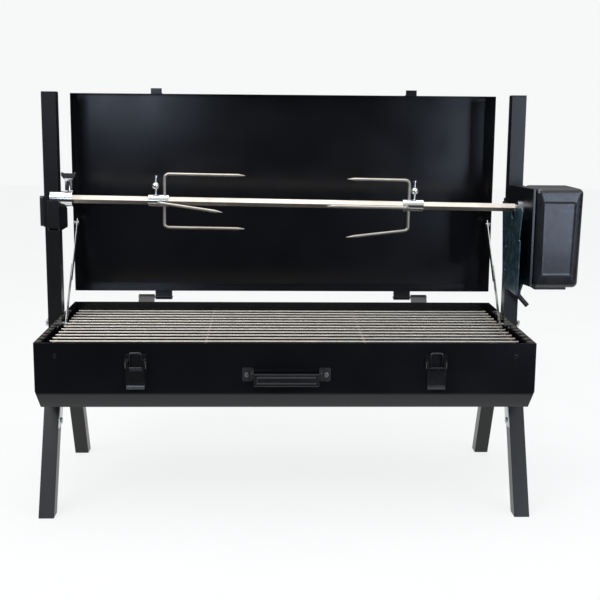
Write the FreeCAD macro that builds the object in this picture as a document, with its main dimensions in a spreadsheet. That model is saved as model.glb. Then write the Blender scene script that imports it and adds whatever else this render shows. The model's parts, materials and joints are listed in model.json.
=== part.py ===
"""Portable charcoal spit roaster in a suitcase body, as a parametric assembly.

Sizes are in millimetres. Sub-parts are drawn about the middle of the firebox with z = 0 at its rim;
each node's Placement carries that point to its height above the ground and to the middle of the
whole footprint. Parts that turn with the spit are drawn along the spit's own axis.
"""
import FreeCAD, Part
import Sketcher
import math
import os
import re

SIZES = {
    # Firebox: vertical walls over a slanted band
    "width": 950, "depth": 445, "wall_height": 94, "band_height": 37, "band_inset": 25,
    "end_inset": 5, "skin": 1.5, "rim_height": 348,
    # Lid, standing open on its two rear hinges
    "hinge_y": 238, "hinge_z": 9, "hinge_x": 294, "knuckle": 6, "hinge_pin": 2.5,
    "lid_face": 229, "lid_depth": 52, "lid_low": 24.5, "lid_high": 467.5, "keeper_rise": 12,
    # Lid stays: two slotted strips on each side, both pivots at the same distance from the hinge
    "stay_foot_y": 70.9, "stay_foot_z": -22, "stay_head_y": 236, "stay_head_z": 179,
    "stay_length": 155, "stay_breadth": 15, "stay_gauge": 1.5, "stay_x": 467.5, "stud": 3,
    # Latches, handle and rivets on the front wall
    "latch_x": 284, "latch_breadth": 40, "latch_top": -16, "latch_low": -86, "latch_pivot": -35.5,
    "grip_half": 61.3, "grip_top": -56, "grip_low": -79.5, "grip_pivot": -60, "grip_pivot_y": -233,
    "grip_front": -242.5, "grip_gauge": 12, "bracket_half": 84, "bracket_screw": 75.5, "rivet_x": 435.5,
    # Posts
    "post": 30, "post_x": 476, "post_y": 72, "post_low": -120, "post_high": 466, "wing_z": -22,
    # Legs
    "leg": 30, "leg_x": 447.5, "splay": 23.5, "foot_y": 219.5, "foot_cap": 12, "leg_gap": 0.4,
    "leaf_knuckle": 3, "leaf_drop": 56,
    # Grill and charcoal tray
    "grill_wire": 2.5, "bar_half": 464.5, "bar_top": -17, "bar_spread": 208, "tray_half_x": 440,
    "tray_half_y": 180, "tray_rise": 39,
    # Height-adjustable sleeves on the posts
    "sleeve_low": 187, "sleeve_high": 251, "sleeve_gauge": 2.2, "slip": 0.3, "knob_z": 219,
    "knob_tall": 64, "knob_deep": 16, "knob_thick": 8.5,
    # Spit, turning on an axis that falls slightly towards the motor
    "spit_z": 245.5, "spit_tilt": 0.8, "spit_side": 11.5, "spit_left": -477, "spit_right": 478,
    "tang_side": 9, "tang_end": 505, "collar": 15.5, "collar_left": -477.5, "collar_right": -433, "screw_x": -441,
    "running": 0.06,
    # Forks
    "fork_wire": 3, "fork_hub": 12.5, "fork_long": 150, "fork_short": 114, "long_half": 54.5,
    "short_half": 51.5, "fork_bend": 9, "front_droop": 15,
    # Motor, its mounting plate and its gears
    "plate_x": 471, "notch_drop": 16, "plate_gauge": 2.5, "motor_left": 503, "motor_right": 601, "motor_front": -58,
    "motor_rear": 62, "motor_low": 80, "motor_high": 282, "motor_wall": 2, "cover_reach": 25,
    "module": 1, "gear_teeth": 48, "pinion_teeth": 12, "gear_left": 510, "gear_face": 9,
}

doc = FreeCAD.newDocument("SpitRoaster")
sheet = doc.addObject("Spreadsheet::Sheet", "Sizes")
for row, (alias, number) in enumerate(SIZES.items(), start=1):
    sheet.set(f"A{row}", alias)
    sheet.set(f"B{row}", str(number))
    sheet.setAlias(f"B{row}", alias)
doc.recompute()

WORD = re.compile(r"[a-z_][a-z_0-9]*")
# The whole footprint runs from the left knob to the motor and from the handle to the lid's back.
SHIFT = {
    "x": "(post_x + post + slip + sleeve_gauge + knob_thick - motor_right)/2",
    "y": "-(grip_front + lid_face + lid_depth)/2",
    "z": "rim_height",
}
TURN_TO = {
    "x": FreeCAD.Rotation(FreeCAD.Vector(0, 1, 0), 90),
    "y": FreeCAD.Rotation(FreeCAD.Vector(1, 0, 0), -90),
    "z": FreeCAD.Rotation(),
}
FIREBOX_LOW = "-(wall_height + band_height)"
nodes = []


def formula(text):
    """Write a formula's sizes as references to the sheet."""
    return WORD.sub(lambda m: f"Sizes.{m.group()}" if m.group() in SIZES else m.group(), str(text))


def value(text):
    """Work out a formula in millimetres or degrees."""
    return float(sheet.evalExpression(formula(text)))


def bind(thing, field, text):
    """Drive one property by a formula of the sheet's sizes."""
    thing.setExpression(field, formula(text))


def block(x, y, z):
    """Box between two levels on each axis, given in either order."""
    solid = doc.addObject("Part::Box", "Block")
    for field, axis, (one, other) in zip(("Length", "Width", "Height"), "xyz", (x, y, z)):
        bind(solid, field, f"abs(({other}) - ({one}))")
        bind(solid, f"Placement.Base.{axis}", f"min({one}; {other})")
    return solid


def rod(axis, centre, span, radius, tip=None):
    """Round bar along an axis, or a cone that ends in the tip radius."""
    kind = "Part::Cylinder" if tip is None else "Part::Cone"
    solid = doc.addObject(kind, "Rod")
    solid.Placement = FreeCAD.Placement(FreeCAD.Vector(), TURN_TO[axis])
    if tip is None:
        bind(solid, "Radius", radius)
    else:
        bind(solid, "Radius1", radius)
        bind(solid, "Radius2", tip)
    bind(solid, "Height", f"abs(({span[1]}) - ({span[0]}))")
    across = [name for name in "xyz" if name != axis]
    for name, text in zip(across, centre):
        bind(solid, f"Placement.Base.{name}", text)
    bind(solid, f"Placement.Base.{axis}", f"min({span[0]}; {span[1]})")
    return solid


def join(*solids):
    """Weld overlapping solids into one."""
    if len(solids) == 1:
        return solids[0]
    result = doc.addObject("Part::MultiFuse", "Joined")
    result.Shapes = list(solids)
    return result


def carve(base, *tools):
    """Cut the tools out of a solid."""
    result = doc.addObject("Part::Cut", "Carved")
    result.Base = base
    result.Tool = join(*tools)
    return result


def group(*solids):
    """Hold separate solids in one node."""
    result = doc.addObject("Part::Compound", "Group")
    result.Links = list(solids)
    return result


def rounded(base, axis, radius):
    """Round the edges of a box that run along one axis."""
    doc.recompute()
    result = doc.addObject("Part::Fillet", "Rounded")
    result.Base = base
    along = TURN_TO[axis].multVec(FreeCAD.Vector(0, 0, 1))
    size = value(radius)
    edges = []
    for number, edge in enumerate(base.Shape.Edges, start=1):
        run = edge.Vertexes[-1].Point - edge.Vertexes[0].Point
        if abs(run.normalize().dot(along)) > 0.999:
            edges.append((number, size, size))
    result.Edges = edges
    return result


def prism(points, span, plane="YZ_Plane"):
    """Pad a polygon whose corners are formulas, between two levels."""
    body = doc.addObject("PartDesign::Body", "Body")
    sketch = body.newObject("Sketcher::SketchObject", "Outline")
    support = [item for item in body.Origin.OriginFeatures if item.Role == plane][0]
    sketch.AttachmentSupport = (support, [""])
    sketch.MapMode = "FlatFace"
    bind(sketch, "AttachmentOffset.Base.z", f"min({span[0]}; {span[1]})")
    corners = [FreeCAD.Vector(value(u), value(v), 0) for u, v in points]
    count = len(corners)
    for index in range(count):
        sketch.addGeometry(Part.LineSegment(corners[index], corners[(index + 1) % count]), False)
    for index in range(count):
        sketch.addConstraint(Sketcher.Constraint("Coincident", index, 2, (index + 1) % count, 1))
    for index, (u, v) in enumerate(points):
        for kind, text, level in (("DistanceX", u, corners[index].x), ("DistanceY", v, corners[index].y)):
            made = sketch.addConstraint(Sketcher.Constraint(kind, -1, 1, index, 1, level))
            bind(sketch, f"Constraints[{made}]", text)
    pad = body.newObject("PartDesign::Pad", "Pad")
    pad.Profile = sketch
    bind(pad, "Length", f"abs(({span[1]}) - ({span[0]}))")
    return body


def bent_wire(points, radius, bend):
    """Round wire along straight runs joined by arcs of one bend radius."""
    corners = [FreeCAD.Vector(*[value(text) for text in point]) for point in points]
    thick = value(radius)
    turn = value(bend)
    start = corners[0]
    edges = []
    for before, corner, after in zip(corners, corners[1:], corners[2:]):
        back = (before - corner).normalize()
        ahead = (after - corner).normalize()
        half = back.getAngle(ahead) / 2
        reach = turn / math.tan(half)
        enter = corner + back * reach
        leave = corner + ahead * reach
        middle = corner + (back + ahead).normalize() * (turn / math.sin(half) - turn)
        edges.append(Part.LineSegment(start, enter).toShape())
        edges.append(Part.Arc(enter, middle, leave).toShape())
        start = leave
    edges.append(Part.LineSegment(start, corners[-1]).toShape())
    path = Part.Wire(edges)
    heading = corners[1] - corners[0]
    profile = Part.Wire(Part.Circle(corners[0], heading, thick).toShape())
    result = doc.addObject("Part::Feature", "Wire")
    result.Shape = path.makePipeShell([profile], True, False)
    return result


def node(name, solid, on_spit=False):
    """Name a sub-part and set it in the frame of the whole machine."""
    if solid.TypeId in ("Part::Box", "Part::Cylinder", "Part::Cone"):
        solid = group(solid)
    solid.Label = name
    if on_spit:
        solid.Placement = FreeCAD.Placement(FreeCAD.Vector(), FreeCAD.Rotation(FreeCAD.Vector(0, 1, 0), 1))
        bind(solid, "Placement.Rotation.Angle", "spit_tilt")
    bind(solid, "Placement.Base.x", SHIFT["x"])
    bind(solid, "Placement.Base.y", SHIFT["y"])
    bind(solid, "Placement.Base.z", SHIFT["z"] + (" + spit_z" if on_spit else ""))
    nodes.append(solid)
    return solid


def pan(half_x, half_y, low, high, gauge):
    """Rectangular sheet-metal pan, open at the top."""
    outside = block((f"-({half_x})", half_x), (f"-({half_y})", half_y), (low, high))
    inside = block((f"-({half_x}) + {gauge}", f"{half_x} - {gauge}"),
                   (f"-({half_y}) + {gauge}", f"{half_y} - {gauge}"),
                   (f"{low} + {gauge}", f"{high} + 1"))
    return carve(outside, inside)


def band_solid(inward, floor):
    """Slanted lower band of the firebox, drawn as a wedge that narrows downwards."""
    wedge = doc.addObject("Part::Wedge", "Band")
    wedge.Placement = FreeCAD.Placement(FreeCAD.Vector(), FreeCAD.Rotation(FreeCAD.Vector(1, 0, 0), -90))
    bind(wedge, "Xmin", f"-(width/2 - {inward})")
    bind(wedge, "Xmax", f"width/2 - {inward}")
    bind(wedge, "Zmin", f"-(depth/2 - {inward})")
    bind(wedge, "Zmax", f"depth/2 - {inward}")
    bind(wedge, "X2min", f"-(width/2 - end_inset - {inward})")
    bind(wedge, "X2max", f"width/2 - end_inset - {inward}")
    bind(wedge, "Z2min", f"-(depth/2 - band_inset - {inward})")
    bind(wedge, "Z2max", f"depth/2 - band_inset - {inward}")
    wedge.Ymin = 0
    bind(wedge, "Ymax", f"band_height - {floor}")
    bind(wedge, "Placement.Base.z", "-wall_height")
    return wedge


def make_firebox():
    """Tray of the suitcase, its grill ledges, rivets and the bolts of its end walls."""
    outside = join(block(("-width/2", "width/2"), ("-depth/2", "depth/2"), ("-wall_height", "0")),
                   band_solid("0", "0"))
    inside = join(block(("-width/2 + skin", "width/2 - skin"), ("-depth/2 + skin", "depth/2 - skin"),
                        ("-wall_height", "1")),
                  band_solid("skin", "skin"))
    bores = [rod("x", ("post_y + post/2", level), ("-width/2 - 1", "width/2 + 1"), "stud + running")
             for level in ("wing_z", "wing_z - 53")]
    node("firebox_tray", carve(outside, inside, *bores))
    ledges = [block(("-width/2 + 30", "width/2 - 30"), (f"{side}*(depth/2 - skin)", f"{side}*(depth/2 - 18)"),
                    ("bar_top - 11.5", "bar_top - 9.5")) for side in (-1, 1)]
    node("grill_ledges", group(*ledges))
    rivets = [rod("y", (f"{side}*rivet_x", "-25"), ("-depth/2 - 2", "-depth/2"), "4") for side in (-1, 1)]
    heads = [rod("x", ("-6", "-15"), (f"{side}*(width/2 - skin)", f"{side}*(width/2 - 5)"), "5")
             for side in (-1, 1)]
    node("wall_fasteners", group(*rivets, *heads))


def make_hinges():
    """Two rear hinges: a tab on the tray outboard, a tab on the lid inboard, one pin through both."""
    tray_tabs = []
    lid_tabs = []
    pins = []
    for side in (-1, 1):
        outer = (f"{side}*(hinge_x + 1)", f"{side}*(hinge_x + 37)")
        inner = (f"{side}*(hinge_x - 1)", f"{side}*(hinge_x - 39)")
        axis = ("hinge_y", "hinge_z")
        arm = prism([("depth/2", "-38"), ("depth/2 + 2.5", "-38"), ("depth/2 + 2.5", "-6"),
                     ("hinge_y + 4", "hinge_z - 4"), ("hinge_y", "hinge_z"), ("hinge_y - 5", "hinge_z + 2"),
                     ("depth/2", "-1")], outer)
        bore = rod("x", axis, (f"{side}*(hinge_x - 45)", f"{side}*(hinge_x + 45)"), "hinge_pin + running")
        tray_tabs.append(carve(join(arm, rod("x", axis, outer, "knuckle")), bore))
        strap = prism([("hinge_y - 4", "lid_low"), ("hinge_y - 5.5", "hinge_z + 1"), ("hinge_y", "hinge_z"),
                       ("hinge_y + 5.5", "hinge_z + 1"), ("hinge_y + 9", "lid_low - 2.5"),
                       ("lid_face + lid_depth - 12", "lid_low - 2.5"),
                       ("lid_face + lid_depth - 12", "lid_low")], inner)
        bore = rod("x", axis, (f"{side}*(hinge_x - 45)", f"{side}*(hinge_x + 45)"), "hinge_pin + running")
        lid_tabs.append(carve(join(strap, rod("x", axis, inner, "knuckle")), bore))
        pins.append(rod("x", axis, (f"{side}*(hinge_x - 40.5)", f"{side}*(hinge_x + 38.5)"), "hinge_pin"))
    node("hinge_tray_tabs", group(*tray_tabs))
    node("hinge_lid_tabs", group(*lid_tabs))
    return pins


def make_lid():
    """Lid tray, standing open with its mouth forward, and the keepers on its free edge."""
    outside = block(("-width/2", "width/2"), ("lid_face", "lid_face + lid_depth"), ("lid_low", "lid_high"))
    inside = block(("-width/2 + skin", "width/2 - skin"), ("lid_face - 1", "lid_face + lid_depth - skin"),
                   ("lid_low + skin", "lid_high - skin"))
    node("lid_shell", carve(rounded(outside, "z", "3"), inside))
    keepers = []
    for side in (-1, 1):
        across = (f"{side}*latch_x - 12", f"{side}*latch_x + 12")
        keepers.append(prism([("lid_face + 1", "lid_high"), ("lid_face + 17", "lid_high"),
                              ("lid_face + 17", "lid_high + 1.8"), ("lid_face + 5", "lid_high + 1.8"),
                              ("lid_face + 3", "lid_high + keeper_rise"),
                              ("lid_face + 1", "lid_high + keeper_rise")], across))
    node("lid_keepers", group(*keepers))


def slotted_strip(side, run, inboard, holes):
    """Stay strip lying along the line from the foot pivot to the head pivot, at one layer of depth.

    The strip is drawn upright at the foot pivot and laid over to the line of the two pivots.
    """
    face = f"{side}*(stay_x - {inboard})"
    back = f"{side}*(stay_x - {inboard} + stay_gauge)"
    strip = block((face, back), ("-stay_breadth/2", "stay_breadth/2"), run)
    cuts = []
    for low, high, radius in holes:
        ends = [rod("x", ("0", level), (f"{side}*(stay_x - 6)", f"{side}*(stay_x + 6)"), radius)
                for level in ((low,) if low == high else (low, high))]
        cuts.extend(ends)
        if low != high:
            cuts.append(block((f"{side}*(stay_x - 6)", f"{side}*(stay_x + 6)"),
                              (f"-({radius})", radius), (low, high)))
    return carve(strip, *cuts)


def make_stays():
    """Sliding stays that hold the lid; the upper strip's pin runs in the lower strip's slot."""
    span = "sqrt((stay_head_y - stay_foot_y)^2 + (stay_head_z - stay_foot_z)^2)"
    lean = "atan((stay_head_y - stay_foot_y)/(stay_head_z - stay_foot_z))"
    reach = f"{span} - (stay_length - 15)"
    studs = []
    lid_studs = []
    for side, word in ((-1, "left"), (1, "right")):
        lower = slotted_strip(side, ("-7.5", "stay_length - 7.5"), "0",
                              [("0", "0", "stud + running"), ("50", reach, "2.6")])
        upper = slotted_strip(side, (f"{span} - stay_length + 7.5", f"{span} + 7.5"), "1.8",
                              [(span, span, "stud + running")])
        pin = rod("x", ("0", reach), (f"{side}*(stay_x - 1.8)", f"{side}*(stay_x + 3)"), "2.5")
        for label, strip in ((f"stay_lower_{word}", lower), (f"stay_upper_{word}", join(upper, pin))):
            laid = doc.addObject("Part::Compound", "Laid")
            laid.Links = [strip]
            turn = FreeCAD.Rotation(FreeCAD.Vector(1, 0, 0), 1)
            laid.Placement = FreeCAD.Placement(FreeCAD.Vector(), turn)
            bind(laid, "Placement.Rotation.Angle", f"-{lean}")
            bind(laid, "Placement.Base.y", "stay_foot_y")
            bind(laid, "Placement.Base.z", "stay_foot_z")
            node(label, group(laid))
        for store, y, z, inner in ((studs, "stay_foot_y", "stay_foot_z", "stay_x - 0.4"),
                                   (lid_studs, "stay_head_y", "stay_head_z", "stay_x - 2.2")):
            shank = rod("x", (y, z), (f"{side}*(width/2 - skin)", f"{side}*({inner})"), "stud")
            head = rod("x", (y, z), (f"{side}*({inner})", f"{side}*({inner} - 2)"), "5")
            washer = rod("x", (y, z), (f"{side}*(width/2 - skin)", f"{side}*(width/2 - skin - 3)"), "5")
            store.append(join(shank, head, washer))
    node("stay_foot_studs", group(*studs))
    node("stay_head_studs", group(*lid_studs))


def make_latch(side, word):
    """Toggle latch: fixed base with two cheeks, pull lever and wire bail."""
    middle = f"{side}*latch_x"
    wall = "-depth/2"
    half = "latch_breadth/2"
    plate = block((f"{middle} - {half}", f"{middle} + {half}"), (f"{wall} - 1.5", wall),
                  ("latch_low + 2", "latch_top - 6"))
    cheeks = [prism([(wall, "latch_pivot + 7"), (f"{wall} - 9", "latch_pivot + 4"),
                     (f"{wall} - 9", "latch_pivot - 5"), (wall, "latch_pivot - 22")],
                    (f"{middle} + {way}*{half}", f"{middle} + {way}*({half} - 2)")) for way in (-1, 1)]
    base = join(plate, *cheeks)
    pin_line = (f"{wall} - 6", "latch_pivot")
    bore = rod("x", pin_line, (f"{middle} - {half} - 1", f"{middle} + {half} + 1"), "2 + running")
    arm = f"{half} - 3"
    lever = prism([(f"{wall} - 4", "latch_pivot + 3"), (f"{wall} - 9", "latch_pivot + 3"),
                   (f"{wall} - 9.5", "latch_low + 8"), (f"{wall} - 14", "latch_low"),
                   (f"{wall} - 11.5", "latch_low - 0.5"), (f"{wall} - 6.5", "latch_low + 8"),
                   (f"{wall} - 4", "latch_pivot - 18")], (f"{middle} - ({arm})", f"{middle} + {arm}"))
    bail_room = block((f"{middle} - 13.4", f"{middle} + 13.4"), (f"{wall} - 3", f"{wall} - 20"),
                      ("latch_pivot - 16", "latch_pivot + 6"))
    bail_line = (f"{wall} - 6.5", "latch_pivot - 11")
    bail_bore = rod("x", bail_line, (f"{middle} - 20", f"{middle} + 20"), "1.5 + running")
    pins = [rod("x", pin_line, (f"{middle} + {way}*14", f"{middle} + {way}*({half} + 0.8)"), "2")
            for way in (-1, 1)]
    node(f"latch_lever_{word}", join(carve(lever, bail_room, bail_bore), *pins))
    legs = bent_wire([(f"{middle} - 11.5", *bail_line), (f"{middle} - 11.5", bail_line[0], "latch_top - 2"),
                      (f"{middle} + 11.5", bail_line[0], "latch_top - 2"), (f"{middle} + 11.5", *bail_line)],
                     "1.5", "4")
    foot = rod("x", bail_line, (f"{middle} - 16.8", f"{middle} + 16.8"), "1.5")
    node(f"latch_bail_{word}", join(legs, foot))
    return carve(base, bore)


def make_handle():
    """Drop handle: two brackets screwed to the front wall and a moulded grip that swings up."""
    wall = "-depth/2"
    brackets = []
    screws = []
    pins = []
    line = ("grip_pivot_y", "grip_pivot")
    for side in (-1, 1):
        across = (f"{side}*(grip_half + 0.5)", f"{side}*bracket_half")
        plate = rounded(block(across, (f"{wall} - 3", wall), ("-47", "-73")), "y", "4")
        ear = prism([(wall, "grip_pivot + 9"), (f"{wall} - 8", "grip_pivot + 7"),
                     ("grip_pivot_y - 5", "grip_pivot + 4"), ("grip_pivot_y - 5", "grip_pivot - 4"),
                     (f"{wall} - 8", "grip_pivot - 7"), (wall, "grip_pivot - 9")],
                    (f"{side}*(grip_half + 0.5)", f"{side}*(grip_half + 7)"))
        bore = rod("x", line, (f"{side}*grip_half", f"{side}*(grip_half + 8)"), "2.5 + running")
        brackets.append(carve(join(plate, ear), bore))
        screws.append(rod("y", (f"{side}*bracket_screw", "grip_pivot"), (f"{wall} - 5.5", f"{wall} - 3"), "4.5"))
        pins.append(rod("x", line, (f"{side}*(grip_half - 4)", f"{side}*(grip_half + 7)"), "2.5"))
    node("handle_brackets", group(*brackets))
    node("handle_screws", group(*screws))
    bar = rounded(block(("-grip_half", "grip_half"), ("grip_front", "grip_front + grip_gauge"),
                        ("grip_top", "grip_low")), "x", "3.5")
    node("handle_grip", join(bar, *pins))


def make_post(side, word):
    """Square tube that carries the spit, with its cap and its lower wing bolt."""
    inner = "post_x"
    outer = "post_x + post"
    tube = block((f"{side}*({inner})", f"{side}*({outer})"), ("post_y", "post_y + post"),
                 ("post_low", "post_high"))
    hollow = block((f"{side}*({inner} + skin)", f"{side}*({outer} - skin)"),
                   ("post_y + skin", "post_y + post - skin"), ("post_low - 1", "post_high + 1"))
    bores = [rod("x", ("post_y + post/2", level), (f"{side}*({inner} - 1)", f"{side}*({outer} + 1)"),
                 "stud + running") for level in ("wing_z", "wing_z - 53")]
    stop = rod("y", (f"{side}*(post_x + post/2)", "sleeve_high + 5"), ("post_y - 4", "post_y"), "4")
    node(f"post_{word}", join(carve(tube, hollow, *bores), stop))
    cap = block((f"{side}*({inner})", f"{side}*({outer})"), ("post_y", "post_y + post"),
                ("post_high", "post_high + 2"))
    plug = block((f"{side}*({inner} + 2)", f"{side}*({outer} - 2)"), ("post_y + 2", "post_y + post - 2"),
                 ("post_high - 12", "post_high"))
    fixed = rod("x", ("post_y + post/2", "wing_z - 53"), (f"{side}*(width/2 - 3)", f"{side}*({outer} + 3)"),
                "stud")
    heads = [rod("x", ("post_y + post/2", "wing_z - 53"), span, "6")
             for span in ((f"{side}*({outer})", f"{side}*({outer} + 4)"),
                          (f"{side}*(width/2 - skin)", f"{side}*(width/2 - 5)"))]
    shank = rod("x", ("post_y + post/2", "wing_z"), (f"{side}*(width/2 - 3)", f"{side}*({outer} + 3)"),
                "stud")
    boss = rod("x", ("post_y + post/2", "wing_z"), (f"{side}*({outer} + 0.3)", f"{side}*({outer} + 7)"), "7")
    wing = prism([("post_y + post/2 - 5", "wing_z - 4"), ("post_y + post/2 + 5", "wing_z - 4"),
                  ("post_y + post/2 + 17", "wing_z + 3"), ("post_y + post/2 + 15", "wing_z + 9"),
                  ("post_y + post/2 + 4", "wing_z + 4"), ("post_y + post/2 - 4", "wing_z + 4"),
                  ("post_y + post/2 - 15", "wing_z + 9"), ("post_y + post/2 - 17", "wing_z + 3")],
                 (f"{side}*({outer} + 3)", f"{side}*({outer} + 6.5)"))
    node(f"wing_bolt_{word}", join(shank, boss, wing))
    return join(cap, plug), join(fixed, *heads)


def make_leg(side, end, word):
    """Splayed tube leg with its foot cap and the leaf it folds on."""
    top = f"{FIREBOX_LOW} - leg_gap"
    ground = "-rim_height"
    slope = "tan(splay)"
    across = "leg/cos(splay)"
    span = (f"{side}*leg_x", f"{side}*(leg_x + leg)")

    def outline(inset, low, high):
        """Corners of the leg's side view between two heights above the ground."""
        wall = f"{inset}/cos(splay)"
        return [(f"{end}*(foot_y - {wall} - ({low})*{slope})", f"{ground} + {low}"),
                (f"{end}*(foot_y - {across} + {wall} - ({low})*{slope})", f"{ground} + {low}"),
                (f"{end}*(foot_y - {across} + {wall} - ({high})*{slope})", f"{ground} + {high}"),
                (f"{end}*(foot_y - {wall} - ({high})*{slope})", f"{ground} + {high}")]

    height = f"({top} + rim_height)"
    tube = prism(outline("0", "foot_cap", height), span)
    hollow = prism(outline("skin", "foot_cap - 5", f"{height} + 5"),
                   (f"{side}*(leg_x + skin)", f"{side}*(leg_x + leg - skin)"))
    cap = prism(outline("0", "0", "foot_cap"), span)
    node(f"leg_{word}", join(carve(tube, hollow), cap))
    middle = f"{end}*(foot_y - {across}/2 - {height}*{slope})"
    axis = (f"{side}*(leg_x - leaf_knuckle - slip)", f"{FIREBOX_LOW} - leaf_knuckle - slip")
    bolt_level = "171"
    reach = (f"{middle} - 15", f"{middle} + 15")
    plate = prism(outline("1", f"{height} - leaf_drop", f"{height} - 3"),
                  (f"{side}*(leg_x - 2)", f"{side}*leg_x"))
    barrel = rod("y", axis, reach, "leaf_knuckle")
    middle_room = block((f"{side}*(leg_x - 8)", f"{side}*leg_x"), (f"{middle} - 5.3", f"{middle} + 5.3"),
                        (f"{axis[1]} - 4", f"{axis[1]} + 4"))
    bore = rod("y", axis, (f"{middle} - 20", f"{middle} + 20"), "1.5 + running")
    bolt = rod("x", (f"{end}*(foot_y - {across}/2 - {bolt_level}*{slope})", f"{ground} + {bolt_level}"),
               (f"{side}*(leg_x - 5)", f"{side}*(leg_x - 2)"), "5")
    node(f"leg_leaf_{word}", carve(join(plate, barrel, bolt), middle_room, bore))
    strap = block((f"{side}*(leg_x - 35)", f"{side}*(leg_x - 7)"), (f"{middle} - 18", f"{middle} + 18"),
                  (f"{FIREBOX_LOW} - 2", FIREBOX_LOW))
    tongue = block((f"{side}*(leg_x - 8)", axis[0]), (f"{middle} - 5", f"{middle} + 5"),
                   (f"{FIREBOX_LOW} - 2", FIREBOX_LOW))
    knuckle = rod("y", axis, (f"{middle} - 5", f"{middle} + 5"), "leaf_knuckle")
    pin = rod("y", axis, (f"{middle} - 15.5", f"{middle} + 15.5"), "1.5")
    return carve(join(strap, tongue, knuckle), bore), pin


def make_grill():
    """Loose cooking grill of round bars, and the charcoal tray under it."""
    count = 15
    bars = []
    for index in range(count):
        y = f"bar_spread*{2 * index - count + 1}/{count - 1}"
        bars.append(rod("x", (y, "bar_top - grill_wire"), ("-bar_half", "bar_half"), "grill_wire"))
    for x in ("-(bar_half - 7)", "-width/6", "width/6", "bar_half - 7"):
        bars.append(rod("y", (x, "bar_top - 2.8*grill_wire"), ("-(bar_spread + 4)", "bar_spread + 4"), "grill_wire"))
    node("cooking_grill", join(*bars))
    floor = f"{FIREBOX_LOW} + skin + 0.3"
    node("charcoal_tray", pan("tray_half_x", "tray_half_y", floor, f"{floor} + tray_rise", "1.2"))


def knob_seat(side, axis):
    """Centre line and outer face of a sleeve's clamping bore, along X or towards the rear."""
    if axis == "x":
        return ("post_y + post/2", "knob_z"), f"{side}*(post_x + post + slip + sleeve_gauge)", side
    return (f"{side}*(post_x + post/2)", "knob_z"), "(post_y + post + slip + sleeve_gauge)", 1


def sleeve(side, axis):
    """Square sleeve that slides on a post, with a bore for its clamping knob."""
    near = f"{side}*(post_x - slip)"
    far = f"{side}*(post_x + post + slip)"
    outside = block((f"{near} - {side}*sleeve_gauge", f"{far} + {side}*sleeve_gauge"),
                    ("post_y - slip - sleeve_gauge", "post_y + post + slip + sleeve_gauge"),
                    ("sleeve_low", "sleeve_high"))
    room = block((near, far), ("post_y - slip", "post_y + post + slip"), ("sleeve_low - 1", "sleeve_high + 1"))
    centre, face, way = knob_seat(side, axis)
    bore = rod(axis, centre, (f"{face} - {way}*(sleeve_gauge + 1)", f"{face} + {way}"), "stud + running")
    return carve(outside, room, bore)


def make_knob(side, axis, word):
    """T-bar knob that clamps a sleeve on its post."""
    centre, face, way = knob_seat(side, axis)
    shank = rod(axis, centre, (f"{face} - {way}*sleeve_gauge", f"{face} + {way}*2"), "stud")
    across = (f"{centre[0]} - knob_deep/2", f"{centre[0]} + knob_deep/2")
    out = (f"{face} + {way}*0.4", f"{face} + {way}*knob_thick")
    tall = ("knob_z - knob_tall/2", "knob_z + knob_tall/2")
    bar = block(out, across, tall) if axis == "x" else block(across, out, tall)
    node(f"clamp_knob_{word}", join(rounded(bar, axis, "5"), shank))


def make_cradle():
    """Left sleeve with the folded saddle whose notch holds the spit's collar."""
    fall = "tan(spit_tilt)"
    plates = []
    for x in ("-481.5", "-460"):
        plates.append(prism([("-22", "sleeve_low + 8"), ("-22", "spit_z + 4"), ("30", "spit_z + 4"),
                             ("post_y - slip", "spit_z - 20"), ("post_y - slip", "sleeve_low"),
                             ("-14", "sleeve_low")], (x, f"{x} + 2")))
    floor = block(("-481.5", "-458"), ("-14", "post_y - slip"), ("sleeve_low", "sleeve_low + 2"))
    front = block(("-481.5", "-458"), ("-22", "-20"), ("sleeve_low + 7", "spit_z + 4"))
    flange = block(("-481.5", "-458"), ("post_y - slip - sleeve_gauge", "post_y - slip"),
                   ("sleeve_low", "spit_z - 21"))
    level = f"spit_z + 468*{fall}"
    notch = rod("x", ("0", level), ("-490", "-450"), "collar + slip")
    mouth = block(("-490", "-450"), ("-(collar + slip)", "collar + slip"), (level, "spit_z + 30"))
    node("cradle_saddle", join(sleeve(-1, "x"), carve(join(*plates, floor, front, flange), notch, mouth)))


def make_spit():
    """Square spit set on edge, its bearing collar and the collar's thumbscrew."""
    side = "spit_side/2*sqrt(2)"
    bar = prism([(f"-({side})", "0"), ("0", side), (side, "0"), ("0", f"-({side})")],
                ("spit_left", "spit_right - 4"))
    end = rod("x", ("0", "0"), ("spit_right - 4", "spit_right"), "6.4")
    tang = block(("spit_right - 4", "tang_end"), ("-tang_side/2", "tang_side/2"), ("-tang_side/2", "tang_side/2"))
    node("spit_bar", join(bar, end, tang), on_spit=True)
    ring = rod("x", ("0", "0"), ("collar_left", "collar_right"), "collar")
    slot = prism([(f"-({side})", "0"), ("0", side), (side, "0"), ("0", f"-({side})")],
                 ("collar_left - 1", "collar_right + 1"))
    bore = rod("z", ("screw_x", "0"), ("7", "collar + 1"), "2.5 + running")
    node("bearing_collar", carve(ring, slot, bore), on_spit=True)
    shank = rod("z", ("screw_x", "0"), ("8.6", "collar + 3"), "2.5")
    barrel = rod("z", ("screw_x", "0"), ("collar + 2", "36"), "7.5")
    flare = rod("z", ("screw_x", "0"), ("36", "41"), "7.5", "10")
    head = prism([("screw_x - 9", "40"), ("screw_x + 9", "40"), ("screw_x + 15", "48"),
                  ("screw_x + 14.5", "54"), ("screw_x + 9", "52"), ("screw_x - 9", "52"),
                  ("screw_x - 14.5", "54"), ("screw_x - 15", "48")], ("-4", "4"), "XZ_Plane")
    node("collar_screw", join(shank, barrel, flare, head), on_spit=True)


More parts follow.
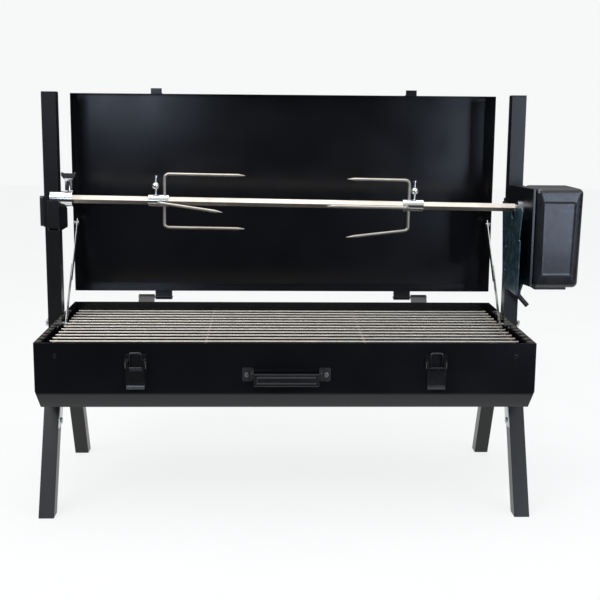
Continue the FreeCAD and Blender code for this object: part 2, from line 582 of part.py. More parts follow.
def fork_wires(hub_end, way, half, length, turn, droop):
    """Two prongs that leave the hub sideways, bend and run along the spit to a point.

    The prong on the front side of a level fork droops towards its point.
    """
    wires = []
    for sign in (-1, 1):
        cosine = f"{sign}*cos({turn})"
        sine = f"{sign}*sin({turn})"
        root = (hub_end, f"9.6*{sine}", f"9.6*{cosine}")
        corner = (hub_end, f"{half}*{sine}", f"{half}*{cosine}")
        fall = droop if sign < 0 else "0"
        tip = (f"{hub_end} + {way}*{length}", corner[1], f"{corner[2]} - {fall}")
        wires.append(bent_wire([root, corner, tip], "fork_wire", "fork_bend"))
        lean = math.degrees(math.atan2(value(fall), value(length)))
        point = rod("z", (tip[0], tip[1]), (tip[2], f"{tip[2]} + 14"), "fork_wire", "0.4")
        heading = FreeCAD.Rotation(FreeCAD.Vector(0, 1, 0), way * (90 + lean))
        point.Placement = FreeCAD.Placement(FreeCAD.Vector(), heading)
        for axis, text in zip("xyz", tip):
            bind(point, f"Placement.Base.{axis}", text)
        wires.append(point)
    return wires


def make_fork(word, hub_low, hub_high, arm_x, way, long_turn, short_turn, screw_x):
    """Meat fork: hub that slides on the spit, two wire forks and a ball-headed screw."""
    side = "(spit_side/2*sqrt(2) + running)"
    hub = rod("x", ("0", "0"), (hub_low, hub_high), "fork_hub")
    slot = prism([(f"-{side}", "0"), ("0", side), (side, "0"), ("0", f"-{side}")],
                 (f"{hub_low} - 1", f"{hub_high} + 1"))
    bore = rod("z", (screw_x, "0"), ("5", "fork_hub + 1"), "2.5 + running")
    long_wires = fork_wires(arm_x, way, "long_half", "fork_long", long_turn, "0")
    short_x = f"{arm_x} - {way}*8"
    short_wires = fork_wires(short_x, way, "short_half", "fork_short", short_turn, "front_droop")
    bores = []
    for x, turn in ((arm_x, long_turn), (short_x, short_turn)):
        for sign in (-1, 1):
            cosine = f"{sign}*cos({turn})"
            sine = f"{sign}*sin({turn})"
            bores.append(bent_wire([(x, f"9.6*{sine}", f"9.6*{cosine}"), (x, f"16*{sine}", f"16*{cosine}")],
                                   "fork_wire", "fork_bend"))
    node(f"fork_hub_{word}", carve(hub, slot, bore, *bores), on_spit=True)
    wires = long_wires + short_wires
    prongs = [join(wire, point) for wire, point in zip(wires[::2], wires[1::2])]
    node(f"fork_prongs_{word}", group(*prongs), on_spit=True)
    shank = rod("z", (screw_x, "0"), ("8.7", "30"), "2.5")
    ball = doc.addObject("Part::Sphere", "Ball")
    ball.Radius = 7.5
    bind(ball, "Placement.Base.x", screw_x)
    bind(ball, "Placement.Base.z", "30")
    neck = rod("z", (screw_x, "0"), ("34", "50"), "2.2")
    cap = rod("z", (screw_x, "0"), ("48", "51"), "4.5")
    node(f"fork_screw_{word}", join(shank, ball, neck, cap), on_spit=True)


def gear_outline(teeth, backlash):
    """Involute outline of a spur gear as a closed wire about the X axis, one tooth straight up."""
    pitch = value("module") * teeth / 2
    base = pitch * math.cos(math.radians(20))
    tip = pitch + value("module")
    root = pitch - 1.25 * value("module")
    spread = math.tan(math.radians(20)) - math.radians(20)
    half_tooth = math.pi / (2 * teeth) + spread - backlash / pitch
    corners = []
    for tooth in range(teeth):
        middle = 2 * math.pi * tooth / teeth
        flank = []
        for step in range(4):
            radius = max(base, root) + (tip - max(base, root)) * step / 3
            roll = math.acos(base / radius)
            flank.append((radius, half_tooth - (math.tan(roll) - roll)))
        flank.insert(0, (root, flank[0][1]))
        corners += [(radius, middle - angle) for radius, angle in flank]
        corners += [(radius, middle + angle) for radius, angle in reversed(flank)]
    points = [FreeCAD.Vector(0, radius * math.sin(angle), radius * math.cos(angle)) for radius, angle in corners]
    return Part.makePolygon(points + points[:1])


def gear(teeth, centre_z, turn, start, face):
    """Spur gear between two levels along the spit's axis."""
    wire = gear_outline(teeth, 0.06)
    wire.rotate(FreeCAD.Vector(), FreeCAD.Vector(1, 0, 0), turn)
    wire.translate(FreeCAD.Vector(value(start), 0, value(centre_z)))
    result = doc.addObject("Part::Feature", "Gear")
    result.Shape = Part.Face(wire).extrude(FreeCAD.Vector(value(face), 0, 0))
    return result


def make_drive():
    """Output gear with its square socket, driven by the pinion on the motor's shaft."""
    socket = rod("x", ("0", "0"), ("478.6", "gear_left + gear_face"), "14.2")
    room = block(("470", "tang_end + 0.6"), ("-tang_side/2 - 0.05", "tang_side/2 + 0.05"),
                 ("-tang_side/2 - 0.05", "tang_side/2 + 0.05"))
    stub = rod("x", ("0", "0"), ("gear_left + gear_face", "gear_left + gear_face + 6"), "4")
    big = gear(SIZES["gear_teeth"], "0", 0, "gear_left", "gear_face")
    node("output_gear", carve(join(socket, stub, big), room), on_spit=True)
    drop = "-module*(gear_teeth + pinion_teeth)/2"
    half_pitch = 180 / SIZES["pinion_teeth"]
    small = gear(SIZES["pinion_teeth"], drop, -half_pitch, "gear_left", "gear_face")
    shaft = rod("x", ("0", drop), ("gear_left - 1", "gear_left + 22"), "2.5")
    node("motor_pinion", join(small, shaft), on_spit=True)
    can = rod("x", ("0", drop), ("gear_left + gear_face + 3", "gear_left + 62"), "22")
    bore = rod("x", ("0", drop), ("gear_left", "gear_left + 23"), "2.5 + running")
    node("motor_can", carve(can, bore), on_spit=True)


def make_motor():
    """Motor casing in two shells, its mounting plate, screws and cable boot."""
    deep = ("motor_front", "motor_rear")
    tall = ("motor_low", "motor_high")
    body = rounded(block(("motor_left + slip", "motor_right"), deep, tall), "x", "14")
    hollow = block(("motor_left - 1", "motor_right - motor_wall"),
                   ("motor_front + 3*motor_wall", "motor_rear - 3*motor_wall"),
                   ("motor_low + 3*motor_wall", "motor_high - 2*motor_wall"))
    badge = rounded(block(("motor_left + 15", "motor_right - 14"), ("motor_front - 1.5", "motor_front + 1"),
                          ("motor_low + 40", "motor_high - 26")), "y", "5")
    lip = block(("motor_left + 10", "motor_right - 24"), ("motor_front + 8", "motor_front + 40"),
                ("motor_low - 5", "motor_low + 1"))
    node("motor_case", join(carve(body, hollow), badge, lip))
    # The inner shell flares towards the plate at the rear, where its bosses are screwed on.
    flare = prism([("motor_left", "motor_front + 4"), ("motor_left", "motor_rear - 1"),
                   ("motor_left - cover_reach", "motor_rear - 1"), ("motor_left - cover_reach", "motor_rear - 14"),
                   ("motor_left - 5", "motor_front + 4")], ("motor_low + 2", "motor_high - 1"), "XY_Plane")
    inner = block(("motor_left - 3", "motor_left + 1"), ("motor_front + 4*motor_wall", "motor_rear - 3*motor_wall"),
                  ("motor_low + 3*motor_wall", "motor_high - 2*motor_wall"))
    axis_z = "spit_z - motor_left*tan(spit_tilt)"
    window = rod("x", ("0", axis_z), ("plate_x", "motor_left + 20"), "14.8")
    bosses = [rod("x", ("52", z), ("plate_x + plate_gauge", "motor_left - cover_reach + 4"), "6")
              for z in ("100", "150")]
    node("motor_cover", join(carve(flare, inner, window), *bosses))
    notch_z = "spit_z - notch_drop"
    outline = [("104", "244"), ("-70", "244"), ("-76", "238"), ("-58", "180"), ("-66", "176"), ("-61", "70"),
               ("-56", "64"), ("75", "64")]
    plate = prism(outline, ("plate_x", "plate_x + plate_gauge"))
    notch = rod("x", ("0", notch_z), ("plate_x - 5", "plate_x + 10"), "15")
    mouth = block(("plate_x - 5", "plate_x + 10"), ("-15", "15"), (notch_z, "spit_z + 10"))
    rim = rod("x", ("0", notch_z), ("plate_x - 1.5", "plate_x + plate_gauge"), "17")
    node("motor_plate", carve(join(plate, rim), notch, mouth))
    node("motor_sleeve", sleeve(1, "y"))
    heads = [rod("x", ("52", z), ("plate_x - 2", "plate_x"), "4") for z in ("100", "150")]
    node("plate_screws", group(*heads))
    boot = bent_wire([("motor_left + 4", "42", "motor_low + 4"), ("motor_left - 6", "42", "50"),
                      ("motor_left + 16", "42", "26")], "5", "14")
    above = block(("motor_left - 20", "motor_left + 30"), ("30", "60"), ("motor_low", "motor_low + 20"))
    node("cable_boot", carve(boot, above))


def check_and_export():
    """Recompute, refuse anything failed or empty, and write one STEP file for each sub-part."""
    doc.recompute()
    for thing in doc.Objects:
        if "Invalid" in thing.State or "Error" in thing.State:
            raise RuntimeError(f"{thing.Name} failed: {thing.State}")
    os.makedirs("parts", exist_ok=True)
    for solid in nodes:
        if solid.Shape.isNull() or not solid.Shape.isValid() or not solid.Shape.Solids:
            raise RuntimeError(f"{solid.Label} has no valid solid")
        solid.Shape.exportStep(f"parts/{solid.Label}.step")
    box = Part.makeCompound([solid.Shape for solid in nodes]).BoundBox
    print(len(nodes), "sub-parts,", [round(size, 2) for size in (box.XMin, box.XMax, box.YMin, box.YMax,
                                                              box.ZMin, box.ZMax)])


make_firebox()
hinge_pins = make_hinges()
make_lid()
make_stays()
make_handle()
straps = []
latch_bases = []
caps = []
post_bolts = []
for side, word in ((-1, "left"), (1, "right")):
    latch_bases.append(make_latch(side, word))
    cap, post_bolt = make_post(side, word)
    caps.append(cap)
    post_bolts.append(post_bolt)
    make_knob(side, "x" if side < 0 else "y", word)
    for end, place in ((-1, "front"), (1, "rear")):
        strap, leg_pin = make_leg(side, end, f"{place}_{word}")
        straps.append(strap)
        hinge_pins.append(leg_pin)
node("latch_bases", group(*latch_bases))
node("post_caps", group(*caps))
node("post_bolts", group(*post_bolts))
node("leg_straps", group(*straps))
node("hinge_pins", group(*hinge_pins))
make_grill()
make_cradle()
make_spit()
make_fork("left", "-279", "-238", "-247", 1, "0", "90", "-265")
make_fork("right", "241", "283", "246", -1, "90", "0", "265")
make_drive()
make_motor()
check_and_export()
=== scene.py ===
"""Finish and setting for the portable charcoal spit roaster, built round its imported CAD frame."""
import bpy
import json
import math
from mathutils import Matrix, Vector

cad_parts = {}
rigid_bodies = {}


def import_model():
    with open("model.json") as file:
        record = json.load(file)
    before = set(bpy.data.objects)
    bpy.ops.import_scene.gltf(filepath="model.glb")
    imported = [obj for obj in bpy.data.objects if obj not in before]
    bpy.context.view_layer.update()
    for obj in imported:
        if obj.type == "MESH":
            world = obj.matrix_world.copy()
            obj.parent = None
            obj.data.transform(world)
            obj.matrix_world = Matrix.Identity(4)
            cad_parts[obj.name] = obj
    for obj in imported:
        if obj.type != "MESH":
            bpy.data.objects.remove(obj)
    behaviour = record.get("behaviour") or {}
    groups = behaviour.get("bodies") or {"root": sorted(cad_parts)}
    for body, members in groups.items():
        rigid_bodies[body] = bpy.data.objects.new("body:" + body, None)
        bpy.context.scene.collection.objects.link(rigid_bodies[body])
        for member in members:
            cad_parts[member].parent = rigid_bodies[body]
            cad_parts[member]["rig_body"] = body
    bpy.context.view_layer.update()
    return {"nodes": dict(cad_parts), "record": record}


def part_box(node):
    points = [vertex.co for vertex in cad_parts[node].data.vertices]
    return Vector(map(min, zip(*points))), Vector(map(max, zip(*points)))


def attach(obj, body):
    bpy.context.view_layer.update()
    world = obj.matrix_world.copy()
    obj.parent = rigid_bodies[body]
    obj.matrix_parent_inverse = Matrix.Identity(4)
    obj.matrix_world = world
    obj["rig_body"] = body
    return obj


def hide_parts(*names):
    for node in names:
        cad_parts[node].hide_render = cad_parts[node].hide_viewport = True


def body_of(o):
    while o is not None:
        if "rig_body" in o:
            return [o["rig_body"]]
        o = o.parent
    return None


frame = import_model()

MM = 0.001
FOLD_ANGLE = 40
SMOOTH_ANGLE = 32
GRIP_HALF = 61.3
GRIP_PIN = {"x": 63.5, "y": -233, "z": -60, "radius": 2.5, "length": 9}
MOTOR_PANEL_PROUD = 1.5
MOTOR_LIP_DROP = 5
MOTOR_TAPER = 4
MOTOR_ROUND = 11
LENS = 64.12
SENSOR = 36
CAMERA_TURN = {"pitch": 9.93, "yaw": 1.80, "roll": 0.463}
TRAY_LOW, TRAY_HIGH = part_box("firebox_tray")
CENTRE = Vector(((TRAY_LOW.x + TRAY_HIGH.x) / 2, (TRAY_LOW.y + TRAY_HIGH.y) / 2, TRAY_HIGH.z))


def spot(x, y, z):
    """Place given in millimetres from the middle of the firebox at its rim."""
    return CENTRE + Vector((x, y, z)) * MM


# ---------------------------------------------------------------- materials


def tone(code):
    """Linear colour of an sRGB hex value."""
    parts = [int(code[i:i + 2], 16) / 255 for i in (1, 3, 5)]
    linear = [c / 12.92 if c <= 0.04045 else ((c + 0.055) / 1.055) ** 2.4 for c in parts]
    return (*linear, 1.0)


def add(tree, kind, settings=None, **sockets):
    """Add a node, set its own settings, and set or link its sockets by name."""
    node = tree.nodes.new(kind)
    for name, value in (settings or {}).items():
        setattr(node, name, value)
    for name, value in sockets.items():
        socket = node.inputs[name.replace("_", " ")]
        if isinstance(value, bpy.types.NodeSocket):
            tree.links.new(value, socket)
        else:
            socket.default_value = value
    return node


def new_finish(name):
    """Empty material with its shader and its pattern coordinates, in metres on the object."""
    material = bpy.data.materials.new(name)
    material.use_nodes = True
    tree = material.node_tree
    tree.nodes.clear()
    shader = add(tree, "ShaderNodeBsdfPrincipled")
    output = add(tree, "ShaderNodeOutputMaterial")
    tree.links.new(shader.outputs["BSDF"], output.inputs["Surface"])
    place = add(tree, "ShaderNodeTexCoord").outputs["Object"]
    return material, tree, shader, place


def noise(tree, place, size_mm, detail=3.0, stretch=(1, 1, 1)):
    """Noise whose features are about the given size, drawn out along an axis when stretched."""
    scaled = add(tree, "ShaderNodeMapping", Vector=place, Scale=stretch)
    made = add(tree, "ShaderNodeTexNoise", Vector=scaled.outputs["Vector"],
               Scale=1000 / size_mm, Detail=detail)
    return made.outputs["Fac"]


def between(tree, factor, low, high, start=0.3, end=0.7):
    """Colour that runs from one tone to another as the factor rises."""
    ramp = add(tree, "ShaderNodeValToRGB", Fac=factor)
    ramp.color_ramp.elements[0].position = start
    ramp.color_ramp.elements[0].color = tone(low)
    ramp.color_ramp.elements[1].position = end
    ramp.color_ramp.elements[1].color = tone(high)
    return ramp.outputs["Color"]


def gloss_range(tree, factor, low, high):
    """Roughness that wanders between two values."""
    spread = add(tree, "ShaderNodeMapRange", Value=factor,
                 From_Min=0.3, From_Max=0.7, To_Min=low, To_Max=high)
    return spread.outputs["Result"]


def relief(tree, factor, depth_mm, strength=1.0):
    """Surface relief of a real depth."""
    bump = add(tree, "ShaderNodeBump", Height=factor, Distance=depth_mm * MM, Strength=strength)
    return bump.outputs["Normal"]


def powder_coat(name, low, high, rough, peel_mm=1.6, mirror=0.5):
    """Baked powder coat on steel: near-black, semi-gloss, with faint orange peel and handling marks."""
    material, tree, shader, place = new_finish(name)
    cloud = noise(tree, place, 120)
    # Real orange peel is about 0.8 mm; it is drawn coarser so that it shows.
    peel = noise(tree, place, peel_mm, 2.0)
    tree.links.new(between(tree, cloud, low, high), shader.inputs["Base Color"])
    gloss = gloss_range(tree, noise(tree, place, 90), rough - 0.02, rough + 0.03)
    tree.links.new(gloss, shader.inputs["Roughness"])
    tree.links.new(relief(tree, peel, 0.01, 0.3), shader.inputs["Normal"])
    shader.inputs["Specular IOR Level"].default_value = mirror
    return material


def lacquered_steel(name, low, high, rough):
    """Dipped black lacquer on a small pressing: glossy, so that its folded edges catch the light."""
    material, tree, shader, place = new_finish(name)
    tree.links.new(between(tree, noise(tree, place, 14), low, high), shader.inputs["Base Color"])
    gloss = gloss_range(tree, noise(tree, place, 6), rough - 0.03, rough + 0.05)
    tree.links.new(gloss, shader.inputs["Roughness"])
    tree.links.new(relief(tree, noise(tree, place, 5), 0.02, 0.4), shader.inputs["Normal"])
    shader.inputs["Coat Weight"].default_value = 0.5
    return material


def galvanised_steel():
    """Galvanised sheet with a thin blue-green passivation: spangle a few millimetres across, and pale flecks
    that are painted glints of reflected light.
    """
    material, tree, shader, place = new_finish("galvanised_passivated_steel")
    spangle = add(tree, "ShaderNodeTexVoronoi", Vector=place, Scale=1000 / 9)
    cell = add(tree, "ShaderNodeSeparateColor", Color=spangle.outputs["Color"])
    base = between(tree, cell.outputs["Red"], "#2a4552", "#48646f", 0.1, 0.9)
    # Pale flecks: painted highlights, small glints of reflected light painted into the base colour as
    # near-white spots.
    painted_glints = between(tree, noise(tree, place, 3), "#000000", "#ffffff", 0.66, 0.72)
    mixed = add(tree, "ShaderNodeMix", {"data_type": "RGBA"})
    tree.links.new(painted_glints, mixed.inputs["Factor"])
    tree.links.new(base, mixed.inputs["A"])
    mixed.inputs["B"].default_value = tone("#b9c8ca")
    tree.links.new(mixed.outputs["Result"], shader.inputs["Base Color"])
    tree.links.new(gloss_range(tree, cell.outputs["Green"], 0.3, 0.5), shader.inputs["Roughness"])
    tree.links.new(relief(tree, noise(tree, place, 7), 0.02, 0.4), shader.inputs["Normal"])
    shader.inputs["Metallic"].default_value = 0.75
    return material


def bare_metal(name, low, high, rough, grain_mm, stretch, depth_mm=0.003):
    """Drawn, turned or plated metal: fine lines along its run and small changes of gloss."""
    material, tree, shader, place = new_finish(name)
    lines = noise(tree, place, grain_mm, 4.0, stretch)
    tree.links.new(between(tree, noise(tree, place, 30), low, high), shader.inputs["Base Color"])
    tree.links.new(gloss_range(tree, lines, rough * 0.92, rough * 1.1), shader.inputs["Roughness"])
    tree.links.new(relief(tree, lines, depth_mm, 0.5), shader.inputs["Normal"])
    shader.inputs["Metallic"].default_value = 1.0
    return material


def moulded_plastic(name, low, high, rough, texture_mm, depth_mm, coat=0.0):
    """Injection-moulded plastic: even black with the fine texture of its mould and faint flow clouds."""
    material, tree, shader, place = new_finish(name)
    tree.links.new(between(tree, noise(tree, place, 35), low, high), shader.inputs["Base Color"])
    gloss = gloss_range(tree, noise(tree, place, 12), rough - 0.03, rough + 0.05)
    tree.links.new(gloss, shader.inputs["Roughness"])
    tree.links.new(relief(tree, noise(tree, place, texture_mm), depth_mm, 0.5), shader.inputs["Normal"])
    shader.inputs["IOR"].default_value = 1.54
    shader.inputs["Coat Weight"].default_value = coat
    shader.inputs["Coat Roughness"].default_value = 0.08
    return material


def studio_film():
    """Matt white backdrop film lit from behind, so that it stays pale and shows only faint shadows."""
    material, tree, shader, place = new_finish("backlit_matt_film")
    tree.links.new(between(tree, noise(tree, place, 300), "#5c5d5d", "#606161"), shader.inputs["Base Color"])
    shader.inputs["Roughness"].default_value = 0.95
    shader.inputs["Specular IOR Level"].default_value = 0.0
    shader.inputs["Emission Color"].default_value = tone("#f7f8f8")
    shader.inputs["Emission Strength"].default_value = 0.88
    return material


SHEET_COAT = powder_coat("powder_coated_steel_sheet", "#06070a", "#090a0e", 0.19, mirror=0.5)
TUBE_COAT = powder_coat("powder_coated_steel_tube", "#08090a", "#0c0d0e", 0.33, 1.2, 0.42)
LACQUER = lacquered_steel("black_lacquered_steel", "#0a0a0b", "#101012", 0.20)
GALVANISED = galvanised_steel()
STAINLESS = bare_metal("drawn_stainless_steel", "#a59e95", "#b6b0a7", 0.38, 1.2, (0.05, 1, 1), 0.001)
DARK_ZINC = bare_metal("black_zinc_plated_wire", "#3c3c3f", "#4a4a4d", 0.24, 1.0, (1, 1, 1), 0.001)
GRILL_WIRE = bare_metal("welded_stainless_wire", "#a8a39b", "#b3aea6", 0.42, 3.0, (0.2, 1, 1), 0.001)
CHROME = bare_metal("bright_chrome_plate", "#cfcfce", "#dededd", 0.10, 2.0, (1, 1, 1), 0.001)
ZINC = bare_metal("zinc_plated_steel", "#a5a7a7", "#c0c2c1", 0.28, 1.0, (1, 1, 0.2))
TURNED = bare_metal("turned_plain_steel", "#7c7c7e", "#98989a", 0.33, 0.8, (1, 1, 1))
GLOSS_ABS = moulded_plastic("gloss_black_abs", "#07080b", "#0b0c11", 0.30, 2.0, 0.001, 0.15)
SATIN_NYLON = moulded_plastic("satin_black_nylon", "#0e0e0f", "#141416", 0.40, 1.0, 0.01)

FINISH = {
    "black_sheet": SHEET_COAT, "black_tube": TUBE_COAT, "black_lacquer": LACQUER,
    "zinc": ZINC, "galvanised": GALVANISED,
    "stainless": STAINLESS, "chrome": CHROME, "black_plastic": GLOSS_ABS, "dark_plastic": SATIN_NYLON,
    "steel": TURNED,
}
SLOT_OF = {part["node"]: part["material_slot"] for part in frame["record"]["subparts"]}


def paint(thing, material):
    """Give a whole piece one finish."""
    thing.data.materials.clear()
    thing.data.materials.append(material)


def paint_frame():
    """Give every CAD node the finish of its own material."""
    for name, thing in frame["nodes"].items():
        paint(thing, FINISH[SLOT_OF[name]])
    paint(frame["nodes"]["cooking_grill"], GRILL_WIRE)
    paint(frame["nodes"]["latch_bail_left"], DARK_ZINC)
    paint(frame["nodes"]["latch_bail_right"], DARK_ZINC)


# ---------------------------------------------------------------- modelling


def only(thing):
    """Select one object alone and make it active."""
    bpy.ops.object.select_all(action="DESELECT")
    thing.select_set(True)
    bpy.context.view_layer.objects.active = thing


def apply_modifier(thing, kind, **settings):
    """Add a modifier, set it up and apply it."""
    only(thing)
    modifier = thing.modifiers.new(kind.title(), kind)
    for name, value in settings.items():
        setattr(modifier, name, value)
    bpy.ops.object.modifier_apply(modifier=modifier.name)


def settle(thing, node):
    """Finish a piece: smooth its rounds, paint it, and let it stand for a CAD node on its body."""
    only(thing)
    bpy.ops.object.transform_apply(location=True, rotation=True, scale=True)
    bpy.ops.object.shade_smooth_by_angle(angle=math.radians(SMOOTH_ANGLE))
    apply_modifier(thing, "WEIGHTED_NORMAL", keep_sharp=True, weight=100)
    paint(thing, FINISH[SLOT_OF[node]])
    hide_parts(node)
    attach(thing, body_of(frame["nodes"][node])[0])


def softened(node, width_mm):
    """A node's own shape with its corners rounded, as folding, moulding or tumbling leaves them."""
    source = frame["nodes"][node]
    thing = bpy.data.objects.new(node + "_finished", source.data.copy())
    bpy.context.collection.objects.link(thing)
    only(thing)
    bpy.ops.object.mode_set(mode="EDIT")
    bpy.ops.mesh.select_all(action="SELECT")
    bpy.ops.mesh.remove_doubles(threshold=0.000005)
    bpy.ops.mesh.dissolve_limited(angle_limit=math.radians(1.0))
    bpy.ops.object.mode_set(mode="OBJECT")
    apply_modifier(thing, "BEVEL", width=width_mm * MM, segments=2, limit_method="ANGLE",
                   angle_limit=math.radians(FOLD_ANGLE), use_clamp_overlap=True, harden_normals=False)
    settle(thing, node)


def start_box(name, low, high):
    """Box primitive that fills the space between two corners, ready to be shaped."""
    bpy.ops.object.select_all(action="DESELECT")
    bpy.ops.mesh.primitive_cube_add(size=1, location=(low + high) / 2)
    thing = bpy.context.object
    thing.name = name
    thing.scale = high - low
    only(thing)
    bpy.ops.object.transform_apply(location=True, rotation=True, scale=True)
    return thing


def pick_faces(thing, way):
    """Select the faces that look a given way, and no others."""
    bpy.ops.object.mode_set(mode="EDIT")
    bpy.ops.mesh.select_mode(type="FACE")
    bpy.ops.mesh.select_all(action="DESELECT")
    bpy.ops.object.mode_set(mode="OBJECT")
    for face in thing.data.polygons:
        face.select = face.normal.dot(way) > 0.99
    bpy.ops.object.mode_set(mode="EDIT")


def pressed_panel(thing, way, border_mm, step_mm, draft_mm=2.0):
    """Raise or sink a panel on one side of a piece, with sloping sides."""
    only(thing)
    pick_faces(thing, way)
    bpy.ops.mesh.inset(thickness=border_mm * MM, depth=0)
    bpy.ops.mesh.inset(thickness=draft_mm * MM, depth=step_mm * MM)
    bpy.ops.object.mode_set(mode="OBJECT")


def make_motor_case():
    """Motor shell: tall rounded housing, a little narrower at its foot, with a raised panel in front."""
    low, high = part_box("motor_case")
    body_low = low + Vector((0, MOTOR_PANEL_PROUD, MOTOR_LIP_DROP)) * MM
    case = start_box("motor_shell", body_low, high)
    for corner in case.data.vertices:
        if corner.co.z < (body_low.z + high.z) / 2 and corner.co.x > (body_low.x + high.x) / 2:
            corner.co.x -= MOTOR_TAPER * MM
    apply_modifier(case, "BEVEL", width=MOTOR_ROUND * MM, segments=6, limit_method="ANGLE", angle_limit=0.5)
    only(case)
    pick_faces(case, Vector((0, -1, 0)))
    bpy.ops.mesh.inset(thickness=7 * MM, depth=0)
    middle = ((low.x + high.x) / 2, body_low.y, (body_low.z + high.z) / 2)
    bpy.ops.transform.resize(value=(1, 1, 0.88), center_override=middle)
    bpy.ops.mesh.inset(thickness=1.1 * MM, depth=1.4 * MM)
    bpy.ops.mesh.inset(thickness=2 * MM, depth=-0.2 * MM)
    bpy.ops.object.mode_set(mode="OBJECT")
    lip = start_box("motor_lip", Vector((body_low.x + 6 * MM, body_low.y + 10 * MM, low.z)),
                    Vector((high.x - 26 * MM, body_low.y + 42 * MM, low.z + 8 * MM)))
    apply_modifier(lip, "BEVEL", width=1.5 * MM, segments=3, limit_method="ANGLE", angle_limit=0.5)
    bpy.ops.object.select_all(action="DESELECT")
    lip.select_set(True)
    case.select_set(True)
    bpy.context.view_layer.objects.active = case
    bpy.ops.object.join()
    settle(case, "motor_case")


def make_grip():
    """Moulded handle grip with one long hollow in its face, and the two pins that it swings on."""
    low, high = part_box("handle_grip")
    half = GRIP_HALF * MM
    grip = start_box("handle_moulding", Vector((CENTRE.x - half, low.y, low.z)),
                     Vector((CENTRE.x + half, high.y, high.z)))
    pressed_panel(grip, Vector((0, -1, 0)), 5, -1.2)
    apply_modifier(grip, "BEVEL", width=2.4 * MM, segments=4, limit_method="ANGLE", angle_limit=0.45)
    for side in (-1, 1):
        bpy.ops.object.select_all(action="DESELECT")
        centre = spot(side * GRIP_PIN["x"], GRIP_PIN["y"], GRIP_PIN["z"])
        bpy.ops.mesh.primitive_cylinder_add(vertices=32, radius=GRIP_PIN["radius"] * MM,
                                            depth=GRIP_PIN["length"] * MM, location=centre,
                                            rotation=(0, math.pi / 2, 0))
        pin = bpy.context.object
        apply_modifier(pin, "BEVEL", width=0.4 * MM, segments=2, limit_method="ANGLE", angle_limit=0.6)
        pin.select_set(True)
        grip.select_set(True)
        bpy.context.view_layer.objects.active = grip
        bpy.ops.object.join()
    settle(grip, "handle_grip")


def finish_metalwork():
    """Round the edges of everything that is folded, cast or turned."""
    for node, width in (("firebox_tray", 1.2), ("lid_shell", 1.2), ("post_left", 2.2), ("post_right", 2.2),
                        ("post_caps", 1.5), ("cradle_saddle", 0.7), ("motor_sleeve", 0.7),
                        ("motor_plate", 0.8), ("motor_cover", 7.0), ("clamp_knob_left", 2.2),
                        ("clamp_knob_right", 2.2), ("collar_screw", 1.6), ("wing_bolt_left", 1.0),
                        ("wing_bolt_right", 1.0), ("bearing_collar", 1.2), ("spit_bar", 0.9),
                        ("fork_hub_left", 1.0), ("fork_hub_right", 1.0), ("handle_brackets", 1.0),
                        ("handle_screws", 0.8), ("latch_bases", 0.4), ("latch_lever_left", 0.8),
                        ("latch_lever_right", 0.8), ("lid_keepers", 0.5), ("hinge_tray_tabs", 0.6),
                        ("hinge_lid_tabs", 0.6), ("wall_fasteners", 0.9), ("post_bolts", 0.8),
                        ("leg_straps", 0.5), ("plate_screws", 0.6), ("stay_lower_left", 0.4),
                        ("stay_lower_right", 0.4), ("stay_upper_left", 0.4), ("stay_upper_right", 0.4)):
        softened(node, width)
    for end in ("front", "rear"):
        for side in ("left", "right"):
            softened(f"leg_{end}_{side}", 2.2)
            softened(f"leg_leaf_{end}_{side}", 0.5)


# ---------------------------------------------------------------- setting


def studio_glow(world):
    """Surroundings: pale behind the object; for its reflections dark all round and bright overhead."""
    world.use_nodes = True
    tree = world.node_tree
    tree.nodes.clear()
    way = add(tree, "ShaderNodeSeparateXYZ", Vector=add(tree, "ShaderNodeTexCoord").outputs["Generated"])
    height = add(tree, "ShaderNodeMapRange", Value=way.outputs["Z"], From_Min=0.05, From_Max=0.6,
                 To_Min=0.05, To_Max=0.95)
    around = add(tree, "ShaderNodeBackground", Color=tone("#f4f7fb"), Strength=height.outputs["Result"])
    behind = add(tree, "ShaderNodeBackground", Color=tone("#f7f8f8"), Strength=1.0)
    chosen = add(tree, "ShaderNodeMixShader", Fac=add(tree, "ShaderNodeLightPath").outputs["Is Camera Ray"])
    output = add(tree, "ShaderNodeOutputWorld")
    tree.links.new(around.outputs["Background"], chosen.inputs[1])
    tree.links.new(behind.outputs["Background"], chosen.inputs[2])
    tree.links.new(chosen.outputs["Shader"], output.inputs["Surface"])


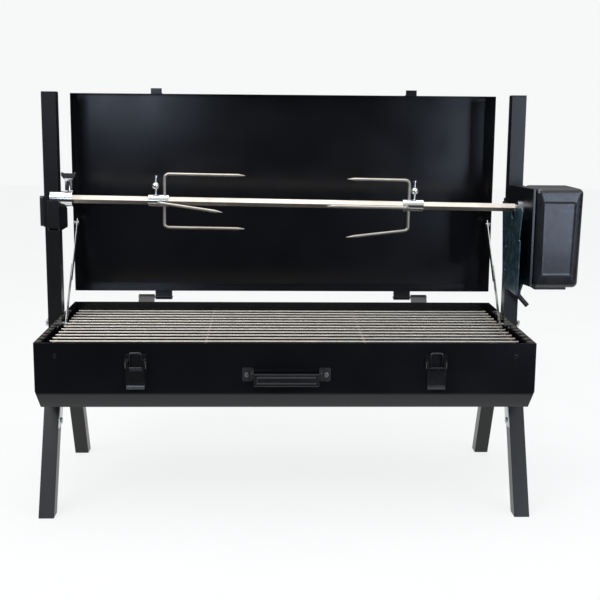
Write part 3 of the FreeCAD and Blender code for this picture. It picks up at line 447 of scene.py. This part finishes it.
def make_floor():
    """Backdrop film under the object, with rounded corners; it ends short of the camera."""
    bpy.ops.object.select_all(action="DESELECT")
    bpy.ops.mesh.primitive_plane_add(size=1, location=(0, 4.2, 0))
    floor = bpy.context.object
    floor.name = "studio_floor"
    floor.scale = (9, 9.9, 1)
    only(floor)
    bpy.ops.object.transform_apply(location=True, rotation=True, scale=True)
    bpy.ops.object.mode_set(mode="EDIT")
    bpy.ops.mesh.select_mode(type="VERT")
    bpy.ops.mesh.select_all(action="SELECT")
    bpy.ops.mesh.bevel(offset=0.8, segments=12, affect="VERTICES")
    bpy.ops.object.mode_set(mode="OBJECT")
    paint(floor, studio_film())


def make_studio():
    """Pale floor, soft panels of light and the camera."""
    make_floor()
    scene = bpy.context.scene
    scene.view_settings.view_transform = "Standard"
    scene.world = bpy.data.worlds.new("studio_world")
    studio_glow(scene.world)
    for name, place, aim, size, power, hue in (
            ("key_panel", (-1.6, -1.8, 2.4), (0, 0, 0.5), 1.6, 55, "#ffffff"),
            ("fill_panel", (1.9, -1.6, 1.5), (0.2, 0, 0.5), 1.4, 18, "#f4f8ff"),
            ("side_strip", (1.5, -2.7, 0.6), (0.5, 0, 0.5), 0.9, 18, "#d5e4ff"),
            ("left_wash", (-0.8, -2.9, 1.0), (-0.3, 0, 0.7), 0.5, 3, "#d5e4ff"),
            ("top_panel", (0.0, 0.2, 2.6), (0, 0, 0.4), 1.8, 30, "#ffffff")):
        light = bpy.data.lights.new(name, "AREA")
        light.size = size
        light.energy = power
        light.color = tone(hue)[:3]
        lamp = bpy.data.objects.new(name, light)
        bpy.context.collection.objects.link(lamp)
        lamp.location = place
        lamp.rotation_euler = (Vector(aim) - Vector(place)).to_track_quat("-Z", "Y").to_euler()
    lens = bpy.data.cameras.new("camera")
    lens.lens = LENS
    lens.sensor_width = SENSOR
    camera = bpy.data.objects.new("camera", lens)
    bpy.context.collection.objects.link(camera)
    pitch, yaw, roll = (math.radians(CAMERA_TURN[way]) for way in ("pitch", "yaw", "roll"))
    turn = Matrix.Rotation(-yaw, 4, "Z") @ Matrix.Rotation(math.pi / 2 - pitch, 4, "X")
    turn = turn @ Matrix.Rotation(roll, 4, "Z")
    camera.matrix_world = Matrix.Translation(spot(-37.4, -2192.8, 428.0)) @ turn
    scene.camera = camera


paint_frame()
finish_metalwork()
make_motor_case()
make_grip()
make_studio()
